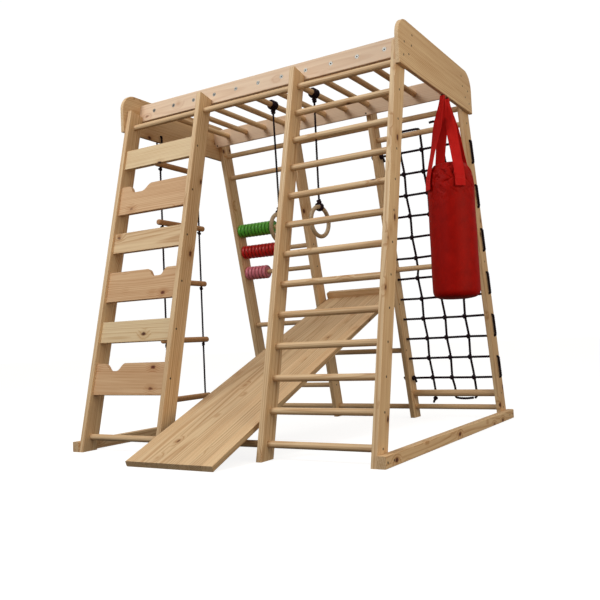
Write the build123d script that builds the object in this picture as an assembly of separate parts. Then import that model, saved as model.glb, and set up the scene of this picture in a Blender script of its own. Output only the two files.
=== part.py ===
from build123d import *
import os
from math import atan, cos, radians, sin, tan

# Indoor play gym: two leaning ladders of posts joined at the top by beams and monkey bars, with a
# hooked-on slide, wall bars, a board ladder, a rope net, rings, a rope ladder, counting discs and a
# punch bag.
# Frame: +X to the right along the long side, +Y to the back, +Z up, millimetres.
# The parts are laid out about the point midway between all the posts' feet, and are saved about
# the centre of the whole footprint, which the slide's nose and the punch bag widen.

# ---- frame ----
LEAN = radians(13)
FOOT_Y = 740
POST_THICK = 24
POST_WIDE = 80
POST_LENGTH = 1580.5
EDGE_ROUND = 3
FRONT_POST_X = {"a": -680, "b": -262, "c": 226, "d": 680}
REAR_POST_X = {"1": -680, "2": -226, "3": 226, "4": 680}
END_FACE_X = 692

# ---- round bars ----
BAR_RADIUS = 13
BAR_FIRST = 68
BAR_PITCH = 120
BAR_TOP = 12
BAR_ACROSS = 40
DEEP_BAR_ACROSS = 62
DEEP_BAR_STEP = 2.55
SOCKET_DEPTH = 10
SOCKET_GAP = 0.1

# ---- beams and monkey bars ----
BEAM_THICK = 24
BEAM_LOW = 1562
BEAM_HIGH = 1650
MONKEY_Z = 1546.8
MONKEY_PITCH = 120
MONKEY_COUNT = 11
MONKEY_END_Y = 288.2
BOLT_SEAT_Y = 298.5
BOLT_HEAD_RADIUS = 8.5
BOLT_HEAD_THICK = 2.5
BOLT_SHANK_RADIUS = 3
BOLT_LENGTH = 45
BOLT_SEAT_GAP = 0.5
BOLT_KEY_RADIUS = 3.4
BOLT_KEY_DEEP = 2

# ---- end boards and base boards ----
END_BOARD_THICK = 18
END_BOARD_LOW = 1437
END_BOARD_HIGH = 1623
END_BOARD_HALF = 413
END_BOARD_CORNER = 80
BASE_THICK = 33
BASE_TALL = 42
BASE_SCREW_Z = 20

# ---- wood screws ----
SCREW_RADIUS = 2
SCREW_HEAD_RADIUS = 4.5
SCREW_HEAD_THICK = 1.5
SCREW_GAP = 0.05
SCREW_LENGTH = 40
BASE_SCREW_LENGTH = 50

# ---- board ladder in the left front bay ----
PLANK_THICK = 18
PLANK_ACROSS = 12
PLANK_PLAIN = 92
PLANK_NOTCHED = 134
PLANK_GAP = 91
PLANK_FIRST_TOP = 1376
PLANK_COUNT = 6
NOTCH_DEEP = 33
# left rim, left floor, right floor and right rim of each hand notch, along X
NOTCHES = {2: (-620, -586, -546, -481), 4: (-444, -403, -372, -330), 6: (-627, -572, -551, -499)}
CLEAT_THICK = 14
CLEAT_DEEP = 20
CLEAT_INSET = 8

# ---- slide ----
SLIDE_SLOPE = atan(0.4025)
SLIDE_X = -9.8
SLIDE_WIDE = 397
SLIDE_THICK = 22
SLIDE_LENGTH = 1700
SLIDE_NOSE_Y = -957
BATTEN_LONG = 25
BATTEN_TALL = 33
BATTEN_CHAMFER = 6
HOOK_LONG = 25
HOOK_DEEP = 40
HOOK_WIDE = 340
MOVING_GAP = 0.3

# ---- counting discs ----
ROD_RADIUS = 12
DISC_RADIUS = 37.5
DISC_PITCH = 23
DISC_THICK = 22.8
DISC_ROUND = 9.5
# place on the slope in bar pitches, and number of discs
DISC_STACKS = {"green": (8.5, 10), "red": (7.5, 10), "pink": (6.5, 6)}

# ---- ropes ----
ROPE_RADIUS = 5
ROPE_GAP = 0.5
RING_OUTER_RADIUS = 76.5
RING_WIRE_RADIUS = 9.5
RING_TURN = 6
RING_Z = 957
HITCH_WIDE = 42
HITCH_KNOT_RADIUS = 12
HITCH_TURNS = 4
HITCH_KNOT_Z = 1515
# each ring: place of its hitch along X and Y, and the angle at which its rope hangs off plumb
RINGS = {"left": (-120, -5, -1.23), "right": (120, -27, 0)}
RING_KNOT_Z = 1049
RING_KNOT_RADIUS = 11

LADDER_X = -701
LADDER_ROPE_Y = {"front": -159, "rear": 125}
LADDER_HOLE_Z = 1467
LADDER_KNOT_Z = 1415
LADDER_KNOT_RADIUS = 12
LADDER_RUNG_Z = (1330, 1038, 746, 454, 162)
LADDER_RUNG_RADIUS = 14
LADDER_RUNG_MIDDLE_Y = -15
LADDER_RUNG_LONG = 350
LADDER_STOP_RADIUS = 10
LADDER_HITCH_SLACK = 2.5
LADDER_TAIL = 30

NET_TOP = 1356
NET_PITCH = 103.2
NET_ROWS = 12
NET_STRAND_X = (345.5, 453, 560.5)
NET_BEHIND = 29.5
NET_TURN_OUT = 7
NET_UPPER_BAR = 11.4
NET_MIDDLE_BAR = 6
NET_LOWER_BAR = 0.6
NET_LOWER_BAR_RADIUS = 17
# how far above or below a bar's middle a strand leaves the net, passes the bar and is back
NET_LEAVE = 44
NET_PASS = 18
NET_LOW_LEAVE = 72
NET_LOW_PASS = 25
NET_TOP_BACK = 70
NET_TAIL = 16

# ---- punch bag ----
BAG_X = 701
BAG_Y = 87
BAG_RADIUS = 104
BAG_LOW = 568
BAG_HIGH = 1148
BAG_LOWER_ROUND = 28
BAG_UPPER_ROUND = 12
STRAP_WIDE = 45
STRAP_THICK = 2.5
STRAP_FOLD_WIDE = 5
STRAP_FOLD_REACH = 7
EYE_Z = 1428
EYE_RADIUS = 7
EYE_SHANK = 30
EYE_WIRE_RADIUS = 2
# each strap: eye place along Y, then for its two legs the bearing round the bag and the low end
STRAPS = ((45, ((-137, 1031), (139, 1031))), (100, ((-45, 1031), (77, 1031))))


# ---- the saved origin: on the floor, at the centre of the footprint ----
ORIGIN_X = (BAG_X + BAG_RADIUS - END_FACE_X - BASE_THICK) / 2
ORIGIN_Y = (SLIDE_NOSE_Y + FOOT_Y) / 2


# a cylinder or box that stands on its own origin
ON_END = (Align.CENTER, Align.CENTER, Align.MIN)


def on_slope(across, along, side):
    """The Y and Z of a point on a leaning side: across from its outer face, along from its foot."""
    y = FOOT_Y - along * sin(LEAN) - across * cos(LEAN)
    z = along * cos(LEAN) - across * sin(LEAN)
    return side * y, z


def bar_along(step):
    return BAR_FIRST + BAR_PITCH * step


def rod_x(x0, x1, y, z, radius):
    """A round rod along X."""
    return Pos((x0 + x1) / 2, y, z) * Rot(0, 90, 0) * Cylinder(radius, x1 - x0)


def slab_x(x0, x1, outline):
    """A board across X from x0 to x1 with the given outline in Y and Z."""
    face = make_face(Polyline(*[(x0, y, z) for y, z in outline], close=True))
    return extrude(face, amount=x1 - x0, dir=(1, 0, 0))


def slope_slab(x0, x1, across0, across1, along0, along1, side):
    corners = ((across0, along0), (across1, along0), (across1, along1), (across0, along1))
    return slab_x(x0, x1, [on_slope(across, along, side) for across, along in corners])


def screw(place, aim, length=SCREW_LENGTH, gap=0.0):
    """A flat-headed wood screw. aim points from its head to its tip, and gap widens it all round."""
    plane = Plane(origin=place, z_dir=aim)
    head = Cylinder(SCREW_HEAD_RADIUS + gap, SCREW_HEAD_THICK, align=ON_END)
    shank = Cylinder(SCREW_RADIUS + gap, length + gap, align=ON_END)
    return plane * (head + shank)


def rope(points, fixed=None, name=""):
    """A rope along straight runs joined by tangent arcs. fixed gives a corner its own radius."""
    fixed = fixed or {}
    corners = [Vector(*p) for p in points]
    radii = []
    for i in range(1, len(corners) - 1):
        before = corners[i] - corners[i - 1]
        after = corners[i + 1] - corners[i]
        turn = radians(before.get_angle(after))
        widest = 0.45 * min(before.length, after.length) / tan(turn / 2)
        radii.append(fixed.get(i, widest))
    print(name, "bend radii", [round(r, 1) for r in radii])
    path = FilletPolyline(*corners, radius=radii)
    start = Plane(origin=path @ 0, z_dir=path % 0)
    return sweep(start * Circle(ROPE_RADIUS), path=path)


def save(shape, name):
    export_step(Pos(-ORIGIN_X, -ORIGIN_Y, 0) * shape, f"parts/{name}.step")


# ---- where the round bars go: X span and step on the slope ----
def bay(posts, left, right):
    return posts[left] + POST_THICK / 2, posts[right] - POST_THICK / 2


FRONT_LEFT = bay(FRONT_POST_X, "a", "b")
FRONT_MIDDLE = bay(FRONT_POST_X, "b", "c")
FRONT_RIGHT = bay(FRONT_POST_X, "c", "d")
REAR_LEFT = bay(REAR_POST_X, "1", "2")
REAR_MIDDLE = bay(REAR_POST_X, "2", "3")
REAR_RIGHT = bay(REAR_POST_X, "3", "4")


def slide_plane():
    """The underside of the slide: its x along X, its y up the slope, its z out of the board."""
    foot_y = SLIDE_NOSE_Y + SLIDE_THICK * sin(SLIDE_SLOPE)
    out = (0, -sin(SLIDE_SLOPE), cos(SLIDE_SLOPE))
    return Plane(origin=(SLIDE_X, foot_y, 0), x_dir=(1, 0, 0), z_dir=out)


def rest_bar_step():
    """The step on the rear slope at which a bar just carries the underside of the slide."""
    plane = slide_plane()
    foot = Vector(SLIDE_X, *on_slope(DEEP_BAR_ACROSS, 0, 1))
    up = Vector(0, -sin(LEAN), cos(LEAN))
    height = (foot - plane.origin).dot(plane.z_dir)
    along = (-BAR_RADIUS - MOVING_GAP - height) / up.dot(plane.z_dir)
    return (along - BAR_FIRST) / BAR_PITCH


REST_STEP = rest_bar_step()
WALL_BAR_STEPS = range(BAR_TOP + 1)
FRONT_CROSS = [(FRONT_LEFT, 0), (FRONT_LEFT, BAR_TOP), (FRONT_MIDDLE, 0), (FRONT_MIDDLE, BAR_TOP)]
REAR_BARS = [(REAR_LEFT, step) for step in (0, 1, 4, 11, BAR_TOP)]
REAR_BARS += [(REAR_MIDDLE, step) for step in (0, DEEP_BAR_STEP, BAR_TOP)]
REAR_BARS += [(REAR_RIGHT, step) for step in (0, NET_LOWER_BAR, NET_MIDDLE_BAR, NET_UPPER_BAR, BAR_TOP)]


def bar_across(span, step):
    """The two lower bars of the rear middle bay lie deeper, clear of the net's lacing."""
    return DEEP_BAR_ACROSS if span == REAR_MIDDLE and 0 < step < BAR_TOP else BAR_ACROSS


def bar(span, step, side, radius=BAR_RADIUS, extra=0.0):
    """A round bar let into the posts at both ends of its bay. The bar under the net is stouter."""
    if (span, step) == (REAR_RIGHT, NET_LOWER_BAR):
        radius = NET_LOWER_BAR_RADIUS
    y, z = on_slope(bar_across(span, step), bar_along(step), side)
    deep = SOCKET_DEPTH + extra
    return rod_x(span[0] - deep, span[1] + deep, y, z, radius + extra)


def bar_screws():
    """The screws through the free faces of the posts into the bar ends, as (place, aim, length)."""
    rods = [step for step, _ in DISC_STACKS.values()]
    net_steps = (NET_LOWER_BAR, NET_MIDDLE_BAR, NET_UPPER_BAR)
    deep_steps = (DEEP_BAR_STEP, REST_STEP)
    # bay, its end (0 left, 1 right), side of the gym, steps
    places = [
        (FRONT_LEFT, 0, -1, (0, BAR_TOP)),
        (FRONT_RIGHT, 0, -1, WALL_BAR_STEPS[1:-1]),
        (FRONT_RIGHT, 1, -1, WALL_BAR_STEPS),
        (REAR_LEFT, 0, 1, [0, 1, 4, 11, BAR_TOP] + rods),
        (REAR_LEFT, 1, 1, [1, 4, 11] + rods),
        (REAR_MIDDLE, 0, 1, deep_steps),
        (REAR_MIDDLE, 1, 1, deep_steps),
        (REAR_RIGHT, 0, 1, net_steps),
        (REAR_RIGHT, 1, 1, (0, *net_steps, BAR_TOP)),
    ]
    screws = []
    for span, end, side, steps in places:
        way = 2 * end - 1
        for step in steps:
            y, z = on_slope(bar_across(span, step), bar_along(step), side)
            screws.append(((span[end] + way * POST_THICK, y, z), (-way, 0, 0), SCREW_LENGTH))
    return screws


def board_screws():
    """The screws of the end, base and ladder boards and the beams, as (place, aim, length)."""
    screws = []
    for end in (-1, 1):
        for side in (-1, 1):
            top_x = end * (END_FACE_X + END_BOARD_THICK)
            for y, z in ((361, 1531), (322, 1494), (373, 1477), (281, 1581), (291, 1537)):
                screws.append(((top_x, side * y, z), (-end, 0, 0), SCREW_LENGTH))
            base_x = end * (END_FACE_X + BASE_THICK)
            for y in (724, 674):
                screws.append(((base_x, side * y, BASE_SCREW_Z), (-end, 0, 0), BASE_SCREW_LENGTH))
    along = (BEAM_LOW + POST_LENGTH) / 2
    for posts, side in ((FRONT_POST_X, -1), (REAR_POST_X, 1)):
        for x in posts.values():
            y, z = on_slope(POST_WIDE + BEAM_THICK, along, side)
            screws.append(((x, y, z), (0, side * cos(LEAN), sin(LEAN)), SCREW_LENGTH))
    for number in range(1, PLANK_COUNT + 1):
        y, z = on_slope(PLANK_ACROSS + PLANK_THICK / 2, sum(plank_span(number)) / 2, -1)
        for x, way in ((FRONT_LEFT[0] - POST_THICK, 1), (FRONT_LEFT[1] + POST_THICK, -1)):
            screws.append(((x, y, z), (way, 0, 0), SCREW_LENGTH))
    return screws


def plank_span(number):
    """How far along the slope a ladder board starts and ends."""
    top = PLANK_FIRST_TOP
    for earlier in range(1, number):
        top -= PLANK_GAP + (PLANK_NOTCHED if earlier in NOTCHES else PLANK_PLAIN)
    return top - (PLANK_NOTCHED if number in NOTCHES else PLANK_PLAIN), top


def monkey_x():
    middle = (MONKEY_COUNT - 1) / 2
    return [(i - middle) * MONKEY_PITCH for i in range(MONKEY_COUNT)]


def bar_bolt(x, side, gap=0.0):
    """A connector bolt through a beam into the end of a monkey bar, with a hexagon socket."""
    head = Cylinder(BOLT_HEAD_RADIUS + gap, BOLT_HEAD_THICK, align=ON_END)
    shank = Cylinder(BOLT_SHANK_RADIUS + gap, BOLT_LENGTH, align=ON_END)
    key = extrude(RegularPolygon(BOLT_KEY_RADIUS, 6), amount=-BOLT_KEY_DEEP)
    key = Pos(0, 0, BOLT_HEAD_THICK) * key
    bolt = head - key + Rot(180, 0, 0) * shank
    return Plane(origin=(x, side * BOLT_SEAT_Y, MONKEY_Z), z_dir=(0, side, 0)) * bolt


def boxes_meet(a, b):
    a, b = a.bounding_box(), b.bounding_box()
    return all(low < high for low, high in zip(a.min, b.max)) and all(
        low < high for low, high in zip(b.min, a.max)
    )


def cut(shape, tools):
    """The shape without those tools that reach it."""
    tools = [tool for tool in tools if boxes_meet(shape, tool)]
    return shape - tools if tools else shape


def long_edges(shape, least):
    return [e for e in shape.edges() if e.length > least]


def post(x, side):
    """A leaning post, cut level at its foot and square at its top."""
    foot = POST_WIDE * tan(LEAN)
    outline = [(0, 0), (POST_WIDE, foot), (POST_WIDE, POST_LENGTH), (0, POST_LENGTH)]
    half = POST_THICK / 2
    solid = slab_x(x - half, x + half, [on_slope(a, b, side) for a, b in outline])
    return fillet(long_edges(solid, POST_LENGTH / 2), EDGE_ROUND)


def beam(side):
    solid = slope_slab(
        -END_FACE_X, END_FACE_X, POST_WIDE, POST_WIDE + BEAM_THICK, BEAM_LOW, BEAM_HIGH, side
    )
    return fillet(long_edges(solid, END_FACE_X), EDGE_ROUND)


def end_board(end):
    """The upright board over the posts' tops at one end, with its two upper corners rounded."""
    high = END_BOARD_HIGH - END_BOARD_LOW
    plan = Rectangle(2 * END_BOARD_HALF, high)
    plan = fillet(plan.vertices().sort_by(Axis.Y)[-2:], END_BOARD_CORNER)
    middle = (0, (END_BOARD_HIGH + END_BOARD_LOW) / 2)
    x = end * (END_FACE_X + END_BOARD_THICK / 2)
    plane = Plane(origin=(x, *middle), x_dir=(0, 1, 0), z_dir=(1, 0, 0))
    solid = extrude(plane * plan, amount=END_BOARD_THICK / 2, both=True)
    rims = [e for e in solid.edges() if e.bounding_box().size.X < 1]
    return fillet(rims, EDGE_ROUND)


def base_board(end):
    x = end * (END_FACE_X + BASE_THICK / 2)
    solid = Pos(x, 0, BASE_TALL / 2) * Box(BASE_THICK, 2 * FOOT_Y, BASE_TALL)
    return fillet(solid.edges().filter_by(Axis.Y), EDGE_ROUND)


def plank(number):
    """One board of the board ladder; every second one is wider and has a hand notch."""
    low, top = plank_span(number)
    origin_y, origin_z = on_slope(PLANK_ACROSS, 0, -1)
    face = Plane(
        origin=(0, origin_y, origin_z), x_dir=(1, 0, 0), z_dir=(0, -cos(LEAN), sin(LEAN))
    )
    left, right = FRONT_LEFT
    if number in NOTCHES:
        rim_left, floor_left, floor_right, rim_right = NOTCHES[number]
        floor = top - NOTCH_DEEP
        steep = (floor_left - rim_left) / 2
        gentle = (rim_right - floor_right) / 2
        edge = Line((left, top), (rim_left, top))
        steepest = (rim_left + steep, top), (floor_left - steep, floor)
        edge += Bezier((rim_left, top), *steepest, (floor_left, floor))
        edge += Line((floor_left, floor), (floor_right, floor))
        gentlest = (floor_right + gentle, floor), (rim_right - gentle, top)
        edge += Bezier((floor_right, floor), *gentlest, (rim_right, top))
        edge += Line((rim_right, top), (right, top))
        edge += Polyline((right, top), (right, low), (left, low), (left, top))
        outline = make_face(edge)
    else:
        corners = ((left, low), (right, low), (right, top), (left, top))
        outline = make_face(Polyline(*corners, close=True))
    return extrude(face * outline, amount=-PLANK_THICK)


def plank_cleats():
    """The short blocks on the posts that the ladder boards lie against."""
    across = PLANK_ACROSS + PLANK_THICK
    left, right = FRONT_LEFT
    cleats = []
    for number in range(1, PLANK_COUNT + 1):
        low, top = plank_span(number)
        if number in NOTCHES:
            top -= NOTCH_DEEP
        low, top = low + CLEAT_INSET, top - CLEAT_INSET
        for x0, x1 in ((left, left + CLEAT_THICK), (right - CLEAT_THICK, right)):
            cleats.append(slope_slab(x0, x1, across, across + CLEAT_DEEP, low, top, -1))
    return cleats


def disc_stack(step, count):
    """A row of discs on one rod, starting at its left end."""
    y, z = on_slope(BAR_ACROSS, bar_along(step), 1)
    disc = Cylinder(DISC_RADIUS, DISC_THICK) - Cylinder(ROD_RADIUS + MOVING_GAP, DISC_THICK)
    rims = [e for e in disc.edges() if e.bounding_box().size.X > DISC_RADIUS]
    disc = fillet(rims, DISC_ROUND)
    first = REAR_LEFT[0] + MOVING_GAP + DISC_THICK / 2
    return [Pos(first + DISC_PITCH * i, y, z) * Rot(0, 90, 0) * disc for i in range(count)]


def slide_parts():
    """The slide board, the batten across its upper end and the cleat that hooks over the rest bar."""
    plane = slide_plane()
    low = (Align.CENTER, Align.MIN, Align.MIN)
    board = Box(SLIDE_WIDE, SLIDE_LENGTH, SLIDE_THICK, align=low)
    board = fillet(board.edges().filter_by(Axis.Y), EDGE_ROUND)
    batten = Box(SLIDE_WIDE, BATTEN_LONG, BATTEN_TALL, align=low)
    batten = Pos(0, SLIDE_LENGTH - BATTEN_LONG, SLIDE_THICK) * batten
    batten = chamfer(batten.edges().filter_by(Axis.Y).group_by(Axis.Z)[-1], BATTEN_CHAMFER)
    y, z = on_slope(DEEP_BAR_ACROSS, bar_along(REST_STEP), 1)
    rest = plane.to_local_coords(Vector(SLIDE_X, y, z)).Y
    start = rest + BAR_RADIUS + MOVING_GAP
    hook = Pos(0, start, -HOOK_DEEP) * Box(HOOK_WIDE, HOOK_LONG, HOOK_DEEP, align=low)
    return plane * board, plane * batten, plane * hook


def ring_hitch(x, y):
    """Rope wound round a monkey bar, with the knot that the hanging rope leaves."""
    hole = BAR_RADIUS + SOCKET_GAP
    wrap = Cylinder(hole + ROPE_RADIUS, HITCH_WIDE)
    for i in range(HITCH_TURNS):
        along = (i - (HITCH_TURNS - 1) / 2) * HITCH_WIDE / HITCH_TURNS
        wrap += Pos(0, 0, along) * Torus(hole + ROPE_RADIUS, ROPE_RADIUS)
    knot = Pos(x, y, HITCH_KNOT_Z) * Sphere(HITCH_KNOT_RADIUS)
    around = Pos(x, y, MONKEY_Z) * Rot(90, 0, 0)
    return around * wrap + knot - around * Cylinder(hole, 3 * HITCH_WIDE)


def off_plumb(shape, x, y, angle):
    """The shape turned by an angle about the knot that its rope hangs from."""
    return Pos(x, y, HITCH_KNOT_Z) * Rot(0, angle, 0) * Pos(-x, -y, -HITCH_KNOT_Z) * shape


def ring(x, y):
    around = Pos(x, y, RING_Z) * Rot(0, 0, -RING_TURN) * Rot(0, 90, 0)
    return around * Torus(RING_OUTER_RADIUS - RING_WIRE_RADIUS, RING_WIRE_RADIUS)


def ring_rope(x, y):
    """The straight rope of a ring, with its knot and the loop through the ring."""
    top = HITCH_KNOT_Z - HITCH_KNOT_RADIUS - MOVING_GAP
    wire_z = RING_Z + RING_OUTER_RADIUS - RING_WIRE_RADIUS
    loop = Torus(RING_WIRE_RADIUS + MOVING_GAP + ROPE_RADIUS, ROPE_RADIUS)
    loop = Pos(x, y, wire_z) * Rot(0, 0, -RING_TURN) * Rot(90, 0, 0) * loop
    knot = Pos(x, y, RING_KNOT_Z) * Sphere(RING_KNOT_RADIUS)
    straight = Pos(x, y, (top + RING_KNOT_Z) / 2) * Cylinder(ROPE_RADIUS, top - RING_KNOT_Z)
    return straight + knot + loop


def ladder_hitch(y):
    """The loop of rope through the end board and under its lower edge, down to its knot."""
    out = END_BOARD_THICK / 2 + ROPE_RADIUS + LADDER_HITCH_SLACK
    low = END_BOARD_LOW - ROPE_RADIUS - 1
    end = LADDER_KNOT_RADIUS - ROPE_RADIUS - 2
    points = [
        (LADDER_X - end, y, LADDER_KNOT_Z),
        (LADDER_X - out, y, low),
        (LADDER_X - out, y, LADDER_HOLE_Z),
        (LADDER_X + out, y, LADDER_HOLE_Z),
        (LADDER_X + out, y, low),
        (LADDER_X + end, y, LADDER_KNOT_Z),
    ]
    edge = ROPE_RADIUS + 2
    knot = Pos(LADDER_X, y, LADDER_KNOT_Z) * Rot(90, 0, 0) * Sphere(LADDER_KNOT_RADIUS)
    return rope(points, {2: edge, 3: edge}, "ladder hitch") + knot


def ladder_rope(y):
    """One hanging rope of the ladder, with a stop knot under each rung."""
    top = LADDER_KNOT_Z - LADDER_KNOT_RADIUS - MOVING_GAP
    stops = [z - LADDER_RUNG_RADIUS - SOCKET_GAP - LADDER_STOP_RADIUS for z in LADDER_RUNG_Z]
    low = stops[-1] - LADDER_TAIL
    body = Pos(LADDER_X, y, (top + low) / 2) * Cylinder(ROPE_RADIUS, top - low)
    for z in stops:
        body += Pos(LADDER_X, y, z) * Sphere(LADDER_STOP_RADIUS)
    return body


def ladder_rungs():
    rung = Cylinder(LADDER_RUNG_RADIUS, LADDER_RUNG_LONG)
    rung = fillet(rung.edges().filter_by(GeomType.CIRCLE), LADDER_RUNG_RADIUS / 2)
    rung = Rot(90, 0, 0) * rung
    for y in LADDER_ROPE_Y.values():
        hole = Cylinder(ROPE_RADIUS + MOVING_GAP, 4 * LADDER_RUNG_RADIUS)
        rung -= Pos(0, y - LADDER_RUNG_MIDDLE_Y, 0) * hole
    return [Pos(LADDER_X, LADDER_RUNG_MIDDLE_Y, z) * rung for z in LADDER_RUNG_Z]


def net_row_along(row):
    return NET_TOP - NET_PITCH * row


def net_lacing():
    """One rope laced to and fro through the two right rear posts, with a knot at each end."""
    left = REAR_POST_X["3"] - POST_THICK / 2
    right = REAR_POST_X["4"] + POST_THICK / 2
    knot_x = left - 2 * ROPE_RADIUS
    points = [(knot_x, *on_slope(BAR_ACROSS, net_row_along(0), 1))]
    for row in range(NET_ROWS - 1):
        x = right + NET_TURN_OUT if row % 2 == 0 else left - NET_TURN_OUT
        for along in (net_row_along(row), net_row_along(row + 1)):
            points.append((x, *on_slope(BAR_ACROSS, along, 1)))
    points.append((knot_x, *on_slope(BAR_ACROSS, net_row_along(NET_ROWS - 1), 1)))
    lacing = rope(points, {i: NET_TURN_OUT for i in range(1, len(points) - 1)}, "net lacing")
    for point in (points[0], points[-1]):
        lacing += Pos(*point) * Sphere(2 * ROPE_RADIUS - ROPE_GAP)
    return lacing


def net_strands():
    """The ropes that run down the net behind its rows, looped round the bars above and below."""
    reach = BAR_RADIUS + ROPE_RADIUS + ROPE_GAP
    front, behind = BAR_ACROSS + reach, BAR_ACROSS - reach
    low_reach = reach + NET_LOWER_BAR_RADIUS - BAR_RADIUS
    low_front, low_behind = BAR_ACROSS + low_reach, BAR_ACROSS - low_reach
    top, middle, low = (bar_along(s) for s in (NET_UPPER_BAR, NET_MIDDLE_BAR, NET_LOWER_BAR))
    rows = NET_BEHIND
    down = [(rows, middle + NET_LEAVE), (behind, middle + NET_PASS)]
    down += [(behind, middle - NET_PASS), (rows, middle - NET_LEAVE)]
    down += [(rows, low + NET_LOW_LEAVE), (low_behind, low + NET_LOW_PASS)]
    down += [(low_behind, low - low_reach), (low_front, low - low_reach)]
    down += [(low_front, low + NET_TAIL)]
    over = [(front, top - NET_TAIL), (front, top + reach), (behind, top + reach)]
    over += [(behind, top - NET_LOW_PASS), (rows, top - NET_TOP_BACK)]
    strands = []
    for x in NET_STRAND_X:
        first = x == NET_STRAND_X[0]
        route = [(rows, NET_TOP + ROPE_RADIUS)] + down if first else over + down
        points = [(x, *on_slope(across, along, 1)) for across, along in route]
        last = len(points) - 1
        bend = low_reach - SOCKET_GAP
        tight = {last - 1: bend, last - 2: bend}
        if not first:
            bend = reach - SOCKET_GAP
            tight.update({1: bend, 2: bend})
        strands.append(rope(points, tight, "net strand"))
    return strands


def punch_bag():
    bag = Pos(BAG_X, BAG_Y, (BAG_LOW + BAG_HIGH) / 2) * Cylinder(BAG_RADIUS, BAG_HIGH - BAG_LOW)
    lower, upper = bag.edges().filter_by(GeomType.CIRCLE).sort_by(Axis.Z)
    bag = fillet(lower, BAG_LOWER_ROUND)
    upper = bag.edges().filter_by(GeomType.CIRCLE).sort_by(Axis.Z)[-1]
    return fillet(upper, BAG_UPPER_ROUND)


def strap(eye_y, legs):
    """A webbing loop through an eye, with its two legs sewn down the side of the bag."""
    fold_z = EYE_Z - EYE_RADIUS + EYE_WIRE_RADIUS + STRAP_THICK
    fold = Box(STRAP_FOLD_WIDE, 2 * STRAP_FOLD_REACH + STRAP_THICK, STRAP_THICK)
    body = Pos(BAG_X, eye_y, fold_z) * fold
    radius = BAG_RADIUS + MOVING_GAP + STRAP_THICK / 2
    for way, (bearing, low) in zip((-1, 1), legs):
        outward = Vector(cos(radians(bearing)), sin(radians(bearing)), 0)
        rim = Vector(BAG_X, BAG_Y, BAG_HIGH) + outward * radius
        end = Vector(BAG_X, eye_y + way * STRAP_FOLD_REACH, fold_z)
        lower = Plane(origin=rim, x_dir=outward, z_dir=(0, 0, 1))
        upper = Plane(origin=end, x_dir=outward, z_dir=(0, 0, 1))
        sections = [lower * Rectangle(STRAP_THICK, STRAP_WIDE)]
        sections.append(upper * Rectangle(STRAP_THICK, STRAP_FOLD_WIDE))
        body += loft(sections, ruled=True)
        tall = BAG_HIGH - low
        shell = Cylinder(radius + STRAP_THICK / 2, tall) - Cylinder(radius - STRAP_THICK / 2, tall)
        shell &= Pos(radius, 0, 0) * Box(2 * radius, STRAP_WIDE, tall)
        body += Pos(BAG_X, BAG_Y, (BAG_HIGH + low) / 2) * Rot(0, 0, bearing) * shell
    return body


def bag_eye(eye_y, gap=0.0):
    """A screw eye in the lower edge of the end board. gap widens it all round."""
    eye = Pos(BAG_X, eye_y, EYE_Z) * Rot(90, 0, 0) * Torus(EYE_RADIUS, EYE_WIRE_RADIUS + gap)
    shank_low = EYE_Z + EYE_RADIUS
    shank = Cylinder(EYE_WIRE_RADIUS + gap, EYE_SHANK, align=ON_END)
    return eye + Pos(BAG_X, eye_y, shank_low) * shank


os.makedirs("parts", exist_ok=True)

# ---- bars ----
screws_in_bars = bar_screws()
screws_in_boards = board_screws()
bar_screw_holes = [screw(*place, gap=SCREW_GAP) for place in screws_in_bars]
board_screw_holes = [screw(*place, gap=SCREW_GAP) for place in screws_in_boards]
rods = [(REAR_LEFT, step) for step, _ in DISC_STACKS.values()]
sockets = [bar(span, step, -1, extra=SOCKET_GAP) for span, step in FRONT_CROSS]
sockets += [bar(FRONT_RIGHT, step, -1, extra=SOCKET_GAP) for step in WALL_BAR_STEPS]
rear_places = REAR_BARS + [(REAR_MIDDLE, REST_STEP)]
sockets += [bar(span, step, 1, extra=SOCKET_GAP) for span, step in rear_places]
sockets += [bar(span, step, 1, ROD_RADIUS, SOCKET_GAP) for span, step in rods]

for step in WALL_BAR_STEPS:
    save(cut(bar(FRONT_RIGHT, step, -1), bar_screw_holes), f"wall_bar_{step + 1:02d}")
front_bars = [cut(bar(span, step, -1), bar_screw_holes) for span, step in FRONT_CROSS]
rear_bars = [cut(bar(span, step, 1), bar_screw_holes) for span, step in REAR_BARS]
save(Compound(front_bars), "front_cross_bars")
save(Compound(rear_bars), "rear_bars")
save(cut(bar(REAR_MIDDLE, REST_STEP, 1), bar_screw_holes), "slide_rest_bar")
abacus_rods = [cut(bar(span, step, 1, ROD_RADIUS), bar_screw_holes) for span, step in rods]
save(Compound(abacus_rods), "abacus_rods")
save(Compound([screw(*place) for place in screws_in_bars]), "bar_screws")
save(Compound([screw(*place) for place in screws_in_boards]), "board_screws")

# ---- posts ----
net_left = REAR_POST_X["3"] - POST_THICK
net_right = REAR_POST_X["4"] + POST_THICK
net_holes = [
    rod_x(net_left, net_right, *on_slope(BAR_ACROSS, net_row_along(row), 1), ROPE_RADIUS + ROPE_GAP)
    for row in range(NET_ROWS)
]
post_tools = sockets + bar_screw_holes + board_screw_holes
for letter, x in FRONT_POST_X.items():
    save(cut(post(x, -1), post_tools), f"front_post_{letter}")
for number, x in REAR_POST_X.items():
    save(cut(post(x, 1), post_tools + net_holes), f"rear_post_{number}")

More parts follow.
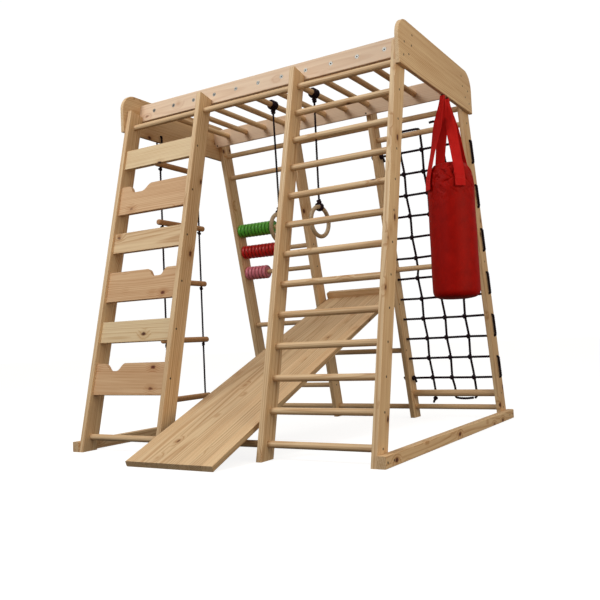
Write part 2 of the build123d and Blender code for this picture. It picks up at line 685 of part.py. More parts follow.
# ---- beams and monkey bars ----
monkey_bars = []
bolts = []
for x in monkey_x():
    monkey = Pos(x, 0, MONKEY_Z) * Rot(90, 0, 0) * Cylinder(BAR_RADIUS, 2 * MONKEY_END_Y)
    bolts += [bar_bolt(x, side) for side in (-1, 1)]
    monkey_bars.append(cut(monkey, [bar_bolt(x, side, SCREW_GAP) for side in (-1, 1)]))
save(Compound(monkey_bars), "monkey_bars")
save(Compound(bolts), "bar_bolts")
for side, name in ((-1, "front_beam"), (1, "rear_beam")):
    holes = []
    for x in monkey_x():
        socket = Cylinder(BAR_RADIUS + SOCKET_GAP, 2 * MONKEY_END_Y + 2 * SOCKET_GAP)
        holes.append(Pos(x, 0, MONKEY_Z) * Rot(90, 0, 0) * socket)
        seat = Cylinder(BOLT_HEAD_RADIUS + BOLT_SEAT_GAP, BEAM_THICK, align=ON_END)
        holes.append(Plane(origin=(x, side * BOLT_SEAT_Y, MONKEY_Z), z_dir=(0, side, 0)) * seat)
        holes.append(bar_bolt(x, side, SCREW_GAP))
    save(cut(beam(side), holes + board_screw_holes), name)

# ---- end boards and base boards ----
hole_left, hole_right = LADDER_X - END_BOARD_THICK, LADDER_X + END_BOARD_THICK
rope_holes = [
    rod_x(hole_left, hole_right, y, LADDER_HOLE_Z, ROPE_RADIUS + ROPE_GAP)
    for y in LADDER_ROPE_Y.values()
]
eye_holes = [bag_eye(eye_y, SCREW_GAP) for eye_y, _ in STRAPS]
save(cut(end_board(-1), board_screw_holes + rope_holes), "left_end_board")
save(cut(end_board(1), board_screw_holes + eye_holes), "right_end_board")
save(cut(base_board(-1), board_screw_holes), "left_base_board")
save(cut(base_board(1), board_screw_holes), "right_base_board")

# ---- board ladder ----
for number in range(1, PLANK_COUNT + 1):
    save(cut(plank(number), board_screw_holes), f"ladder_board_{number}")
save(Compound(plank_cleats()), "board_cleats")

# ---- slide ----
slide_board, slide_batten, slide_hook = slide_parts()
save(slide_board, "slide_board")
save(slide_batten, "slide_batten")
save(slide_hook, "slide_hook_cleat")

# ---- counting discs ----
for colour, (step, count) in DISC_STACKS.items():
    save(Compound(disc_stack(step, count)), f"{colour}_discs")

# ---- rings ----
for name, (x, y, angle) in RINGS.items():
    save(off_plumb(ring(x, y), x, y, angle), f"{name}_ring")
    save(off_plumb(ring_rope(x, y), x, y, angle), f"{name}_ring_rope")

# ---- rope ladder ----
hitches = [ring_hitch(x, y) for x, y, _ in RINGS.values()]
hitches += [ladder_hitch(y) for y in LADDER_ROPE_Y.values()]
save(Compound(hitches), "rope_hitches")
for name, y in LADDER_ROPE_Y.items():
    save(ladder_rope(y), f"ladder_rope_{name}")
save(Compound(ladder_rungs()), "rope_ladder_rungs")

# ---- rope net ----
save(Compound([net_lacing()] + net_strands()), "rope_net")

# ---- punch bag ----
save(punch_bag(), "punch_bag")
save(Compound([strap(eye_y, legs) for eye_y, legs in STRAPS]), "bag_straps")
save(Compound([bag_eye(eye_y) for eye_y, _ in STRAPS]), "bag_eyes")
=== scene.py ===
import math
import random

import bpy
import numpy as np
from mathutils import Matrix, Vector


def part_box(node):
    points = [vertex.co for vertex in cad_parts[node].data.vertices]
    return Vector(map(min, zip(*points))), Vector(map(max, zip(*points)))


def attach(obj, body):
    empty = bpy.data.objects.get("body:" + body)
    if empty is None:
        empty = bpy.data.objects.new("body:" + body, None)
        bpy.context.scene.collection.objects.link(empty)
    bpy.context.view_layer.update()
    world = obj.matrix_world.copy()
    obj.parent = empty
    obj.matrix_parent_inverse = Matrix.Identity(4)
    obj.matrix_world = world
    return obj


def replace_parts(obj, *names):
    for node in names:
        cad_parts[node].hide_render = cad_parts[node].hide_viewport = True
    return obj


# Looks of the indoor play gym. Lengths are written in millimetres in the layout that the CAD source
# uses, about the point midway between the posts' feet, and at() turns them into the shared frame.

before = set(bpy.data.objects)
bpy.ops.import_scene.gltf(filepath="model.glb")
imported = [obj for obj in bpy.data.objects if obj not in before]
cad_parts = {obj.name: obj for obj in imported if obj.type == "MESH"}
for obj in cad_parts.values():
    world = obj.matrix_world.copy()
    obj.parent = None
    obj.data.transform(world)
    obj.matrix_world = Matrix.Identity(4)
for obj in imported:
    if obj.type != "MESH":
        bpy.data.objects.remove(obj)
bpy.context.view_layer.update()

MM = 0.001
ORIGIN = Vector((40.0, -108.5, 0.0))
# both sides lean in from FOOT_Y, where the outer faces of their posts meet the floor
LEAN = math.radians(13)
FOOT_Y = 740
# the bars of a side: the first one's place up the posts, their spacing, and their axes' depth
BAR_FIRST = 68
BAR_PITCH = 120
BAR_ACROSS = 40
BAR_RADIUS = 13
# the radius of the hanging ropes
ROPE = 5.0


def at(x, y, z):
    return (Vector((x, y, z)) - ORIGIN) * MM


def slope(x, across, along, side):
    """The point on a leaning side that is across from its outer face and along from its foot."""
    y = FOOT_Y - along * math.sin(LEAN) - across * math.cos(LEAN)
    return at(x, side * y, along * math.cos(LEAN) - across * math.sin(LEAN))


def bar_along(step):
    """How far up the posts a bar is, or a place between two bars."""
    return BAR_FIRST + BAR_PITCH * step


def smooth_step(t):
    """Rises smoothly from 0 to 1 as t does, and stays there."""
    t = min(1.0, max(0.0, t))
    return t * t * (3 - 2 * t)


def circle(count, first=0.0):
    """The cosine and sine of evenly spaced directions, counted from the first angle on."""
    turns = [2 * math.pi * k / count + first for k in range(count)]
    return [(math.cos(a), math.sin(a)) for a in turns]


# ---- camera ----
CAMERA_PLACE = (1763.7, -2925.4, 428.8)
# yaw to the left of straight ahead, pitch above the level and roll, in degrees
CAMERA_TURN = (31.389, 3.063, -2.613)
CAMERA_LENS = 44.537
CAMERA_SENSOR = 36


def add_camera():
    yaw, pitch, roll = (math.radians(v) for v in CAMERA_TURN)
    forward = Vector(
        (-math.sin(yaw) * math.cos(pitch), math.cos(yaw) * math.cos(pitch), math.sin(pitch))
    )
    level = Vector((math.cos(yaw), math.sin(yaw), 0))
    above = level.cross(forward)
    right = math.cos(roll) * level + math.sin(roll) * above
    up = math.cos(roll) * above - math.sin(roll) * level
    data = bpy.data.cameras.new("camera")
    data.sensor_width = CAMERA_SENSOR
    data.lens = CAMERA_LENS
    camera = bpy.data.objects.new("camera", data)
    bpy.context.scene.collection.objects.link(camera)
    turn = Matrix((right, up, -forward)).transposed().to_4x4()
    camera.matrix_world = Matrix.Translation(at(*CAMERA_PLACE)) @ turn
    bpy.context.scene.camera = camera


# ---- meshes ----
class Build:
    """Collects vertices and faces, and makes one object of them."""

    def __init__(self):
        self.points = []
        self.faces = []

    def rings(self, rings, closed=False):
        """Skins a row of equally long rings of points. It is capped, or closed on itself."""
        start, count = len(self.points), len(rings[0])
        for ring in rings:
            self.points.extend(ring)
        last = len(rings) if closed else len(rings) - 1
        for i in range(last):
            a, b = start + i * count, start + (i + 1) % len(rings) * count
            for k in range(count):
                m = (k + 1) % count
                self.faces.append((a + k, a + m, b + m, b + k))
        if not closed:
            self.faces.append(tuple(start + k for k in reversed(range(count))))
            top = start + (len(rings) - 1) * count
            self.faces.append(tuple(top + k for k in range(count)))

    def make(self, name, material, body, smooth=True):
        mesh = bpy.data.meshes.new(name)
        mesh.from_pydata([tuple(p) for p in self.points], [], self.faces)
        mesh.update()
        mesh.polygons.foreach_set("use_smooth", [smooth] * len(mesh.polygons))
        mesh.materials.append(material)
        obj = bpy.data.objects.new(name, mesh)
        bpy.context.scene.collection.objects.link(obj)
        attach(obj, body)
        return obj


def line_of(points):
    """The smooth line of a rope that is led through these points."""
    curve = bpy.data.curves.new("route", "CURVE")
    curve.dimensions = "3D"
    spline = curve.splines.new("NURBS")
    spline.points.add(len(points) - 1)
    for point, place in zip(spline.points, points):
        point.co = (*place, 1)
    spline.order_u = 3
    spline.use_endpoint_u = True
    spline.resolution_u = 10
    obj = bpy.data.objects.new("route", curve)
    mesh = bpy.data.meshes.new_from_object(obj)
    line = [v.co.copy() for v in mesh.vertices]
    bpy.data.objects.remove(obj)
    bpy.data.curves.remove(curve)
    bpy.data.meshes.remove(mesh)
    return line


def evenly(line, step):
    """The same line with its points a given step apart, and their distances along it."""
    places = np.array([tuple(p) for p in line])
    lengths = np.linalg.norm(np.diff(places, axis=0), axis=1)
    far = np.concatenate([[0], np.cumsum(lengths)])
    count = max(3, int(round(far[-1] / step)) + 1)
    wanted = np.linspace(0, far[-1], count)
    found = np.stack([np.interp(wanted, far, places[:, i]) for i in range(3)], axis=1)
    return [Vector(p) for p in found], wanted


def turning_frames(line):
    """A normal for each point of the line, carried along it without twist."""
    tangents = []
    for i in range(len(line)):
        step = line[min(i + 1, len(line) - 1)] - line[max(i - 1, 0)]
        tangents.append(step.normalized())
    normal = tangents[0].orthogonal().normalized()
    frames = [(tangents[0], normal)]
    for before, now in zip(tangents, tangents[1:]):
        normal = before.rotation_difference(now) @ normal
        normal = (normal - now * normal.dot(now)).normalized()
        frames.append((now, normal))
    return frames


# ---- ropes and knots ----
LAY_LENGTH = 0.032
ROPE_SIDES = 18
ROPE_STEP = 0.0022
# finer steps, for a rope that is wound round a bar or led through a hole
WOUND_STEP = 0.0018
# the radius of one strand, and how deep the valleys between strands go, as shares of the rope's
STRAND_SHARE = 0.50
VALLEY_SHARE = 0.84
KNOT_STEPS = 66
KNOT_SIDES = 10
# the two ways a knot's long axis lies
UPRIGHT = (0, 0, 1)
SIDEWAYS = (1, 0, 0)


def strand_profile(radius):
    """The radius at each side of a rope of three round strands."""
    small = radius * STRAND_SHARE
    centre = radius - small
    radii = []
    for k in range(ROPE_SIDES):
        turn = (k * 360 / ROPE_SIDES + 60) % 120 - 60
        angle = math.radians(turn)
        inside = max(0.0, small**2 - (centre * math.sin(angle)) ** 2)
        outside = centre * math.cos(angle) + math.sqrt(inside)
        radii.append(max(VALLEY_SHARE * radius, outside))
    return radii


def add_rope(build, line, radius=ROPE * MM, step=ROPE_STEP):
    """Adds a laid rope of three strands that follows the line."""
    line, far = evenly(line, step)
    profile = strand_profile(radius)
    rings = []
    for place, (tangent, normal), s in zip(line, turning_frames(line), far):
        side = tangent.cross(normal)
        ways = circle(ROPE_SIDES, 2 * math.pi * s / LAY_LENGTH)
        rings.append([place + (normal * c + side * d) * r for (c, d), r in zip(ways, profile)])
    build.rings(rings)


def add_knot(build, centre, size, along, turn, rope=ROPE * MM):
    """Adds a round overhand knot of the given radius, long the given way and turned about it."""
    spread = (size - rope) / 3
    axis = Vector(along).normalized()
    side = axis.orthogonal().normalized()
    side = Matrix.Rotation(turn, 3, axis) @ side
    third = axis.cross(side)
    points = []
    for i in range(KNOT_STEPS):
        t = 2 * math.pi * i / KNOT_STEPS
        a = spread * (math.sin(t) + 2 * math.sin(2 * t))
        b = spread * (math.cos(t) - 2 * math.cos(2 * t))
        c = -0.92 * rope * math.sin(3 * t)
        points.append(Vector(centre) + axis * a + side * b + third * c)
    rings = []
    for i, place in enumerate(points):
        tangent = (points[(i + 1) % KNOT_STEPS] - points[i - 1]).normalized()
        normal = (third - tangent * third.dot(tangent)).normalized()
        other = tangent.cross(normal)
        rings.append([place + (normal * c + other * d) * rope for c, d in circle(KNOT_SIDES)])
    build.rings(rings, closed=True)


# ---- materials ----
def linear(r, g, b):
    """A colour given as 0 to 255 sRGB, as the shader takes it."""
    out = []
    for v in (r, g, b):
        v /= 255
        out.append(v / 12.92 if v <= 0.04045 else ((v + 0.055) / 1.055) ** 2.4)
    return (*out, 1.0)


class Paint:
    """A node material being put together."""

    def __init__(self, name):
        self.material = bpy.data.materials.new(name)
        self.material.use_nodes = True
        self.tree = self.material.node_tree
        self.shader = self.tree.nodes["Principled BSDF"]

    def node(self, kind, inputs, **settings):
        made = self.tree.nodes.new("ShaderNode" + kind)
        for key, value in settings.items():
            setattr(made, key, value)
        for key, value in inputs.items():
            self.feed(made.inputs[key], value)
        return made

    def feed(self, socket, value):
        if isinstance(value, bpy.types.NodeSocket):
            self.tree.links.new(value, socket)
        else:
            socket.default_value = value

    def math(self, operation, a, b=0.0, c=0.0, clamp=False):
        made = self.node("Math", {0: a, 1: b, 2: c}, operation=operation, use_clamp=clamp)
        return made.outputs[0]

    def mix(self, share, a, b, blend="MIX"):
        made = self.node("Mix", {0: share, 6: a, 7: b}, data_type="RGBA", blend_type=blend)
        return made.outputs[2]

    def ramp(self, value, *stops):
        made = self.node("ValToRGB", {0: value})
        elements = made.color_ramp.elements
        while len(elements) < len(stops):
            elements.new(0.5)
        for element, (place, level) in zip(elements, stops):
            element.position = place
            element.color = (level, level, level, 1)
        return made.outputs[0]

    def place(self, turn=(0, 0, 0), shift=(0, 0, 0)):
        """The place on the piece, in metres, turned and then shifted."""
        spot = self.node("TexCoord", {}).outputs["Object"]
        made = self.node("Mapping", {0: spot, 1: shift, 2: turn})
        return made.outputs[0]

    def stretch(self, spot, x, y, z):
        return self.node("Mapping", {0: spot, 3: (x, y, z)}).outputs[0]

    def noise(self, spot, scale, detail=2.0, rough=0.5):
        inputs = {"Vector": spot, "Scale": scale, "Detail": detail, "Roughness": rough}
        return self.node("TexNoise", inputs).outputs[0]

    def bump(self, height, strength, distance):
        inputs = {"Height": height, "Strength": strength, "Distance": distance}
        self.feed(self.shader.inputs["Normal"], self.node("Bump", inputs).outputs[0])

    def set(self, **values):
        for key, value in values.items():
            self.feed(self.shader.inputs[key.replace("_", " ")], value)
        return self.material


# each wood: the colours of its early wood, its late wood and its knots
PINE = ((234, 204, 162), (186, 138, 92), (92, 48, 26))
PINE_PALE = ((236, 212, 172), (200, 160, 112), (84, 44, 26))
PINE_FAIR = ((236, 210, 182), (204, 164, 132), (104, 56, 36))
PINE_ROSE = ((226, 188, 146), (184, 130, 84), (104, 50, 30))
PINE_DARK = ((206, 160, 114), (150, 100, 62), (84, 44, 26))
GREY_WOOD = ((190, 168, 138), (132, 108, 84), (84, 62, 46))
# how much of the places for knots stays empty
SOME_KNOTS = 0.45
FEW_KNOTS = 0.8
NO_KNOTS = 2.0
GROWTH_RINGS = 170.0


def cut_staves(paint, spot, axis, width):
    """Cuts the wood into glued strips. Gives the place in each strip's own wood, and its tone."""
    raw = paint.node("SeparateXYZ", {0: paint.node("TexCoord", {}).outputs["Object"]})
    count = paint.math("DIVIDE", raw.outputs[axis], width)
    number = paint.math("FLOOR", count)
    jump = paint.node("TexWhiteNoise", {"W": number}, noise_dimensions="1D")
    lift = paint.node("VectorMath", {0: jump.outputs["Color"], 3: 0.7}, operation="SCALE")
    spot = paint.node("VectorMath", {0: spot, 1: lift.outputs[0]}, operation="ADD").outputs[0]
    edge = paint.math("PINGPONG", count, 0.5)
    joint = paint.ramp(edge, (0.0, 0.6), (0.025, 1.0))
    tone = paint.math("MULTIPLY_ADD", jump.outputs["Value"], 0.16, 0.88)
    return spot, paint.math("MULTIPLY", joint, tone)


def mark_knots(paint, spot, empty):
    """A few round dark knots, and the halo in which the grain flows round each."""
    cells = paint.node(
        "TexVoronoi",
        {"Vector": paint.stretch(spot, 13, 13, 8), "Scale": 1.0, "Randomness": 0.85},
        feature="F1",
    )
    gate = paint.node("SeparateColor", {0: cells.outputs["Color"]}).outputs[0]
    hidden = paint.math("LESS_THAN", gate, empty)
    near = paint.math("MULTIPLY_ADD", hidden, 5.0, cells.outputs["Distance"])
    ripple = paint.noise(spot, 130, 2)
    near = paint.math("MULTIPLY_ADD", ripple, 0.07, near)
    heart = paint.ramp(near, (0.10, 1.0), (0.165, 0.0))
    return heart, paint.ramp(near, (0.10, 1.0), (0.40, 0.0))


def mark_growth_rings(paint, spot, pith, halo):
    """The late wood of growth rings about a pith that lies off the board."""
    wave = paint.noise(paint.stretch(spot, 5, 5, 0.9), 1.0, 1)
    parts = paint.node("SeparateXYZ", {0: spot})
    cut_x = paint.math("SUBTRACT", parts.outputs[0], pith.x)
    cut_y = paint.math("SUBTRACT", parts.outputs[1], pith.y)
    square = paint.math("MULTIPLY_ADD", cut_x, cut_x, paint.math("MULTIPLY", cut_y, cut_y))
    reach = paint.math("MULTIPLY_ADD", wave, 0.045, paint.math("SQRT", square))
    reach = paint.math("MULTIPLY_ADD", halo, 0.010, reach)
    ring = paint.math("FRACT", paint.math("MULTIPLY", reach, GROWTH_RINGS))
    return paint.ramp(ring, (0.0, 0.05), (0.5, 0.10), (0.86, 1.0), (0.96, 0.6), (1.0, 0.05))


def wood(name, grain, seed, middle, palette=PINE, empty=SOME_KNOTS, staves=None, figure=1.0):
    """Planed softwood. grain is the direction of the fibres, middle is the middle of the piece, and
    staves is (axis, width) where the board is glued up from strips. figure is how strongly the
    grain shows."""
    paint = Paint(name)
    draw = random.Random(seed)
    turn = Vector(grain).normalized().rotation_difference(Vector((0, 0, 1))).to_euler()
    shift = [draw.uniform(-3, 3) for _ in range(3)]
    off_pith = Vector((draw.uniform(0.02, 0.11), draw.uniform(0.02, 0.11), 0))
    pith = turn.to_matrix() @ Vector(middle) + Vector(shift) + off_pith * draw.choice((-1, 1))
    spot = paint.place(tuple(turn), shift)
    early, late, knot_colour = (linear(*c) for c in palette)
    if staves:
        spot, stave_tone = cut_staves(paint, spot, *staves)
    heart, halo = mark_knots(paint, spot, empty)
    late_wood = mark_growth_rings(paint, spot, pith, halo)
    fibres = paint.noise(paint.stretch(spot, 420, 420, 9), 1.0, 3, 0.6)
    streaks = paint.noise(paint.stretch(spot, 110, 110, 1.6), 1.0, 3, 0.6)
    patches = paint.noise(paint.stretch(spot, 16, 16, 2.2), 1.0, 3, 0.55)
    share = paint.math("MULTIPLY_ADD", fibres, 0.45, paint.math("MULTIPLY", late_wood, 0.55))
    share = paint.math("MULTIPLY_ADD", patches, 0.7, share)
    share = paint.math("MULTIPLY_ADD", streaks, 1.1, share)
    share = paint.math("SUBTRACT", share, 1.31)
    share = paint.math("MULTIPLY_ADD", share, figure, 0.33, clamp=True)
    share = paint.math("MULTIPLY_ADD", halo, 0.45, share, clamp=True)
    colour = paint.mix(share, early, late)
    colour = paint.mix(heart, colour, knot_colour)
    if staves:
        colour = paint.mix(1.0, colour, stave_tone, "MULTIPLY")
    height = paint.math("MULTIPLY_ADD", fibres, 0.6, paint.math("MULTIPLY", late_wood, 0.4))
    height = paint.math("SUBTRACT", height, paint.math("MULTIPLY", heart, 0.4))
    paint.bump(height, 0.35, 0.0006)
    rough = paint.math("MULTIPLY_ADD", share, 0.16, 0.5)
    return paint.set(Base_Color=colour, Roughness=rough, Specular_IOR_Level=0.3)


def rope_material():
    paint = Paint("dark_rope")
    spot = paint.place()
    hairs = paint.noise(spot, 1900, 3, 0.7)
    blotches = paint.noise(spot, 90, 2)
    share = paint.math("MULTIPLY_ADD", hairs, 0.7, paint.math("MULTIPLY", blotches, 0.5))
    share = paint.math("SUBTRACT", share, 0.2, clamp=True)
    colour = paint.mix(share, linear(14, 4, 12), linear(46, 18, 36))
    paint.bump(hairs, 0.7, 0.0006)
    return paint.set(
        Base_Color=colour, Roughness=0.85, Sheen_Weight=0.08, Sheen_Roughness=0.5,
        Specular_IOR_Level=0.2,
    )


def cloth_material(name, dark, light, threads, gloss, weave_depth, sheen):
    """Woven cloth. threads is the number of threads in a metre."""
    paint = Paint(name)
    spot = paint.place()
    parts = paint.node("SeparateXYZ", {0: spot})
    round_way = paint.math("ADD", parts.outputs[0], parts.outputs[1])
    turn = 2 * math.pi * threads
    warp = paint.math("SINE", paint.math("MULTIPLY", round_way, turn))
    weft = paint.math("SINE", paint.math("MULTIPLY", parts.outputs[2], turn))
    weave = paint.math("MULTIPLY", warp, weft)
    blotches = paint.noise(spot, 28, 4, 0.6)
    fine = paint.noise(spot, 900, 2)
    share = paint.math("MULTIPLY_ADD", weave, 0.08, paint.math("MULTIPLY", blotches, 0.9))
    share = paint.math("MULTIPLY_ADD", fine, 0.25, share)
    share = paint.math("SUBTRACT", share, 0.1, clamp=True)
    colour = paint.mix(share, linear(*dark), linear(*light))
    height = paint.math("MULTIPLY_ADD", fine, 0.4, weave)
    paint.bump(height, weave_depth, 0.0005)
    rough = paint.math("MULTIPLY_ADD", blotches, 0.15, gloss)
    return paint.set(
        Base_Color=colour, Roughness=rough, Sheen_Weight=sheen, Sheen_Roughness=0.4,
        Specular_IOR_Level=0.1,
    )


def thread_material():
    paint = Paint("red_thread")
    fine = paint.noise(paint.place(), 2600, 2)
    colour = paint.mix(fine, linear(206, 54, 54), linear(240, 92, 88))
    paint.bump(fine, 0.5, 0.0003)
    return paint.set(Base_Color=colour, Roughness=0.7)


# how dark the painted shade in the grooves between the discs is, as a share of the darker paint
GROOVE_SHADE = 0.38


def gloss_paint(name, dark, light, middle, radius):
    """Brushed gloss paint over turned wood, worn a little through, with painted shade darkening the
    grooves away from the discs' rims. middle is a point of their axis, which runs along X."""
    paint = Paint(name)
    spot = paint.place()
    streaks = paint.noise(paint.stretch(spot, 700, 60, 60), 1.0, 3, 0.6)
    patches = paint.noise(spot, 55, 3)
    share = paint.math("MULTIPLY_ADD", streaks, 0.5, paint.math("MULTIPLY", patches, 0.7))
    share = paint.math("SUBTRACT", share, 0.12, clamp=True)
    colour = paint.mix(share, linear(*dark), linear(*light))
    worn = paint.ramp(paint.noise(spot, 240, 4, 0.7), (0.70, 0.0), (0.76, 0.5))
    colour = paint.mix(worn, colour, linear(206, 178, 136))
    flat = paint.stretch(spot, 0, 1, 1)
    off = paint.node("VectorMath", {0: flat, 1: (0, middle.y, middle.z)}, operation="DISTANCE")
    out = paint.math("DIVIDE", off.outputs["Value"], radius)
    # painted shade: the paint turns darker in the grooves between the discs
    painted_groove_shade = paint.ramp(out, (0.70, 0.30), (0.80, 0.85), (0.97, 0.0))
    colour = paint.mix(painted_groove_shade, colour, linear(*(GROOVE_SHADE * part for part in dark)))
    paint.bump(streaks, 0.12, 0.0004)
    rough = paint.math("MULTIPLY_ADD", patches, 0.2, 0.22)
    return paint.set(Base_Color=colour, Roughness=rough, Coat_Weight=0.3, Coat_Roughness=0.18)


def metal(name, dark, light, gloss):
    paint = Paint(name)
    spot = paint.place()
    patches = paint.noise(spot, 420, 4, 0.65)
    scratches = paint.noise(paint.stretch(spot, 4000, 300, 300), 1.0, 2)
    colour = paint.mix(patches, linear(*dark), linear(*light))
    paint.bump(scratches, 0.25, 0.0002)
    rough = paint.math("MULTIPLY_ADD", scratches, 0.25, gloss)
    return paint.set(Base_Color=colour, Roughness=rough, Metallic=0.9)


ALONG_X = (1, 0, 0)
ALONG_Y = (0, 1, 0)
FRONT_SLOPE = (0, math.sin(LEAN), math.cos(LEAN))
REAR_SLOPE = (0, -math.sin(LEAN), math.cos(LEAN))
SLIDE_SLOPE = math.atan(0.4025)
SLIDE_WAY = (0, math.cos(SLIDE_SLOPE), math.sin(SLIDE_SLOPE))
SLIDE_STAVE = 0.0497
BOARD_PALETTES = (PINE_PALE, PINE_ROSE, PINE, PINE_ROSE, PINE_PALE, PINE_ROSE)


def put_on(node, material):
    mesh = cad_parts[node].data
    mesh.materials.clear()
    mesh.materials.append(material)
    for polygon in mesh.polygons:
        polygon.material_index = 0


def finish_wood():
    """Gives each piece of wood its own material, with the grain along the piece."""
    grains = {}
    for letter in "abcd":
        grains[f"front_post_{letter}"] = (FRONT_SLOPE, {})
    for number in "1234":
        grains[f"rear_post_{number}"] = (REAR_SLOPE, {})
    for side in ("front", "rear"):
        grains[f"{side}_beam"] = (ALONG_X, {"palette": PINE_FAIR, "figure": 0.55})
    for end in ("left", "right"):
        grains[f"{end}_end_board"] = (ALONG_Y, {"empty": 0.5})
        grains[f"{end}_base_board"] = (ALONG_Y, {})
        grains[f"{end}_ring"] = (ALONG_Y, {"palette": GREY_WOOD, "empty": NO_KNOTS})
    for number in range(1, 14):
        grains[f"wall_bar_{number:02d}"] = (ALONG_X, {"empty": FEW_KNOTS})
    for number in range(1, 7):
        grains[f"ladder_board_{number}"] = (ALONG_X, {"palette": BOARD_PALETTES[number - 1]})
    for name in ("front_cross_bars", "rear_bars", "slide_rest_bar"):
        grains[name] = (ALONG_X, {"empty": FEW_KNOTS})
    grains["abacus_rods"] = (ALONG_X, {"empty": NO_KNOTS})
    grains["monkey_bars"] = (ALONG_Y, {"empty": FEW_KNOTS})
    grains["board_cleats"] = (FRONT_SLOPE, {})
    grains["rope_ladder_rungs"] = (ALONG_Y, {"palette": PINE_DARK, "empty": NO_KNOTS})
    grains["slide_board"] = (SLIDE_WAY, {"empty": 0.6, "staves": (0, SLIDE_STAVE)})
    grains["slide_batten"] = (ALONG_X, {})
    grains["slide_hook_cleat"] = (ALONG_X, {"palette": PINE_DARK})
    for seed, (node, (grain, extra)) in enumerate(sorted(grains.items())):
        low, high = (Vector(corner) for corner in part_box(node))
        put_on(node, wood(f"pine_{node}", grain, seed, (low + high) / 2, **extra))


# each row of discs: the darker and the lighter colour of its paint
DISC_PAINTS = {
    "green": ((52, 156, 24), (116, 208, 70)),
    "red": ((184, 8, 6), (226, 26, 18)),
    "pink": ((220, 100, 122), (248, 156, 172)),
}


def finish_discs():
    for name, (dark, light) in DISC_PAINTS.items():
        low, high = (Vector(corner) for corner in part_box(f"{name}_discs"))
        radius = (high.z - low.z) / 2
        paint = gloss_paint(f"{name}_paint", dark, light, (low + high) / 2, radius)
        put_on(f"{name}_discs", paint)


def finish_hardware():
    put_on("bar_bolts", metal("zinc_bright", (104, 102, 98), (166, 164, 158), 0.32))
    dark = metal("zinc_dark", (70, 62, 54), (120, 110, 98), 0.4)
    for node in ("bag_eyes", "board_screws", "bar_screws"):
        put_on(node, dark)


MONKEY_Z = 1546.8
MONKEY_COUNT = 11
MONKEY_PITCH = 120
# the rings of a bolt's socket: radius, and the distance from the gym's middle plane
SOCKET_RINGS = ((3.3, 298.6), (3.3, 300.3), (2.2, 300.3), (0.6, 299.6))


def add_bolt_sockets():
    """A dark piece in the hexagon socket of each bolt head: painted shadow for the shade down in
    the socket.
    """
    paint = Paint("socket_shadow")
    # painted shadow: near-black colours, mottled a little, stand in for the shade inside the socket
    painted_shadow_mottle = paint.noise(paint.place(), 900, 3)
    colour = paint.mix(painted_shadow_mottle, linear(14, 13, 12), linear(52, 46, 40))
    material = paint.set(Base_Color=colour, Roughness=0.6, Metallic=0.6)
    build = Build()
    hexagon = circle(6, math.pi / 6)
    for i in range(MONKEY_COUNT):
        x = (i - (MONKEY_COUNT - 1) / 2) * MONKEY_PITCH
        for side in (-1, 1):
            rings = []
            for r, y in SOCKET_RINGS:
                rings.append([at(x + r * c, side * y, MONKEY_Z + side * r * d) for c, d in hexagon])
            build.rings(rings)
    build.make("bolt_sockets", material, "frame", smooth=False)


# ---- rope net ----
NET_TOP = 1356
NET_PITCH = 103.2
NET_ROWS = 12
NET_STRAND_X = (345.5, 453, 560.5)
# the depth at which the strands pass behind the rows
NET_BEHIND = 28.5
POST_3_FACES = (214, 238)
POST_4_FACES = (668, 692)
# the radius of the net's rope
NET_ROPE = 6.2
# how far the lacing lies outside a post's face, how far it stays straight beside a post's middle,
# and how far it takes to turn the corner
NET_OUT = 8
NET_STRAIGHT = 40
NET_TURN = 16
# how far the knots stand to either side of a strand's line, and up or down from a row's
NET_SWAY = 3
NET_WOBBLE = 2.0
NET_LOWER_BAR_RADIUS = 17
NET_REACH = BAR_RADIUS + NET_ROPE + 0.5
NET_LOW_REACH = NET_LOWER_BAR_RADIUS + NET_ROPE + 0.5
NET_UPPER, NET_MIDDLE, NET_LOWER = (bar_along(step) for step in (11.4, 6, 0.6))


def net_row(row):
    return NET_TOP - NET_PITCH * row


def net_point(x, across, along):
    return slope(x, across, along, 1)


def add_net_rope(build, route):
    add_rope(build, line_of([net_point(*p) for p in route]), NET_ROPE * MM)


def build_lacing(rope, wobbles):
    """The rope that runs to and fro through the posts, and its knots and tails at both ends."""
    lacing = Build()
    left, right = POST_3_FACES[0] - NET_OUT, POST_4_FACES[1] + NET_OUT
    middle_3, middle_4 = sum(POST_3_FACES) / 2, sum(POST_4_FACES) / 2
    route = []
    for row, wobble in enumerate(wobbles):
        along = net_row(row)
        run = [(x, BAR_ACROSS, along) for x in (left, middle_3, middle_3 + NET_STRAIGHT)]
        run += [(x, BAR_ACROSS - 1, along + off) for x, off in zip(NET_STRAND_X, wobble)]
        run += [(x, BAR_ACROSS, along) for x in (middle_4 - NET_STRAIGHT, middle_4, right)]
        route += reversed(run) if row % 2 else run
        if row < NET_ROWS - 1:
            x = left if row % 2 else right
            route.append((x, BAR_ACROSS, along - NET_TURN))
            route.append((x, BAR_ACROSS, net_row(row + 1) + NET_TURN))
    add_net_rope(lacing, route)
    for along in (net_row(0), net_row(NET_ROWS - 1)):
        end = net_point(POST_3_FACES[0] - 11, BAR_ACROSS, along)
        add_knot(lacing, end, 12.5 * MM, UPRIGHT, 0.4)
        near = POST_3_FACES[1] + 9
        add_knot(lacing, net_point(near, BAR_ACROSS, along), 13.5 * MM, UPRIGHT, 1.2)
        tail = [(near + 2, BAR_ACROSS - 4, along - 4), (near + 4, BAR_ACROSS - 14, along - 14)]
        add_net_rope(lacing, tail + [(near + 3, BAR_ACROSS - 18, along - 27)])
    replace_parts(lacing.make("net_lacing", rope, "frame"), "rope_net")


